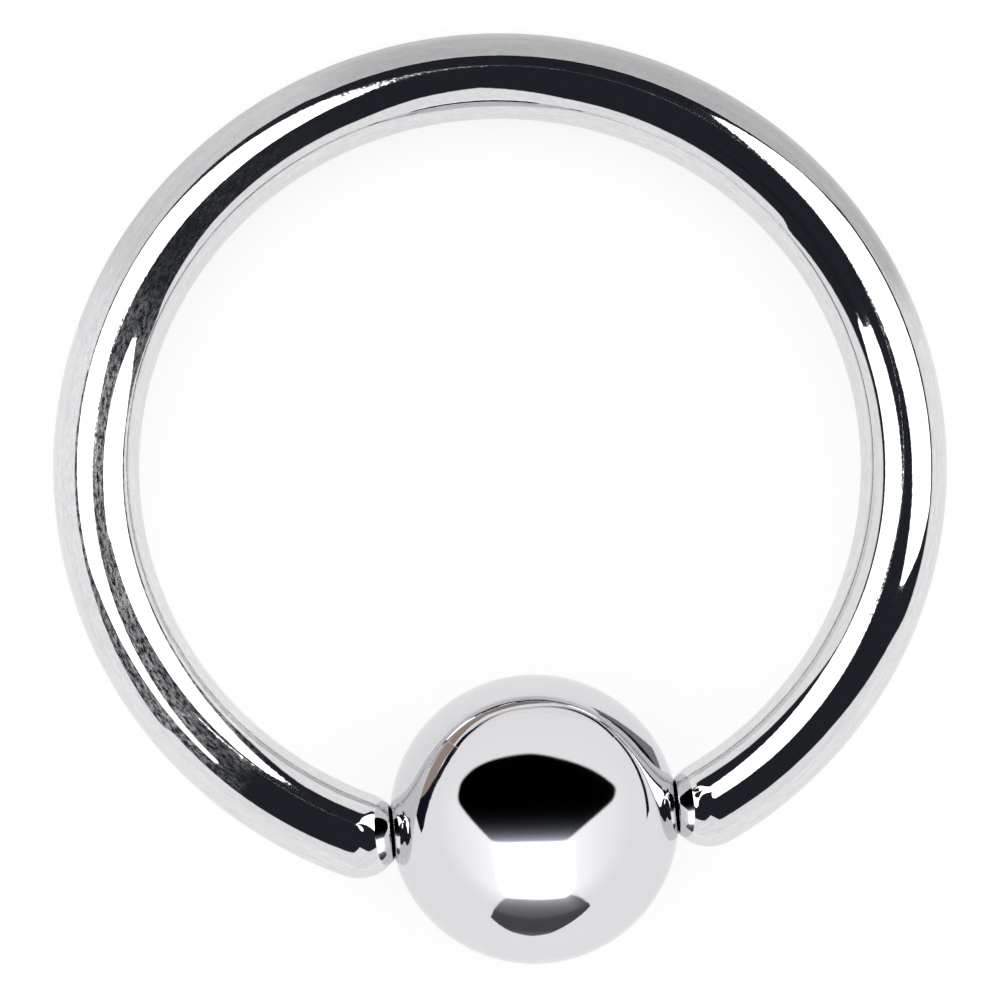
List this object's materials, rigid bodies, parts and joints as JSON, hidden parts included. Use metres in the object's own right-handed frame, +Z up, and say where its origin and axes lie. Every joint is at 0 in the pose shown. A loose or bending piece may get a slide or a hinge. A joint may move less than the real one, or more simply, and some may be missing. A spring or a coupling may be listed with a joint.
{
  "type": "captive bead ring",
  "caption": "Open round-wire ring for a piercing, closed by a ball that its domed ends grip by spring tension; the ball spins between them.",
  "frame": {"origin": "on the surface that the ring lies on, below the middle of the resting part's box", "axes": "+Z up; -Y from the ring's middle towards the ball, which lifts that side of the ring; X along the line through the ball's dimples, which the ball spins about"},
  "size_m": [0.0124, 0.0132, 0.004],
  "materials": {
    "ring_steel": "polished surgical steel wire, with faint drawing lines along it",
    "bead_steel": "mirror-polished surgical steel ball"
  },
  "bodies": {
    "ring_body": {"wire_ring": "ring_steel"},
    "bead_body": {"captive_bead": "bead_steel"}
  },
  "joints": [
    {"name": "bead_spin", "type": "hinge", "parent": "ring_body", "child": "bead_body", "pos_m": [0, -0.00458, 0.002], "axis": [1, 0, 0], "continuous": true}
  ]
}
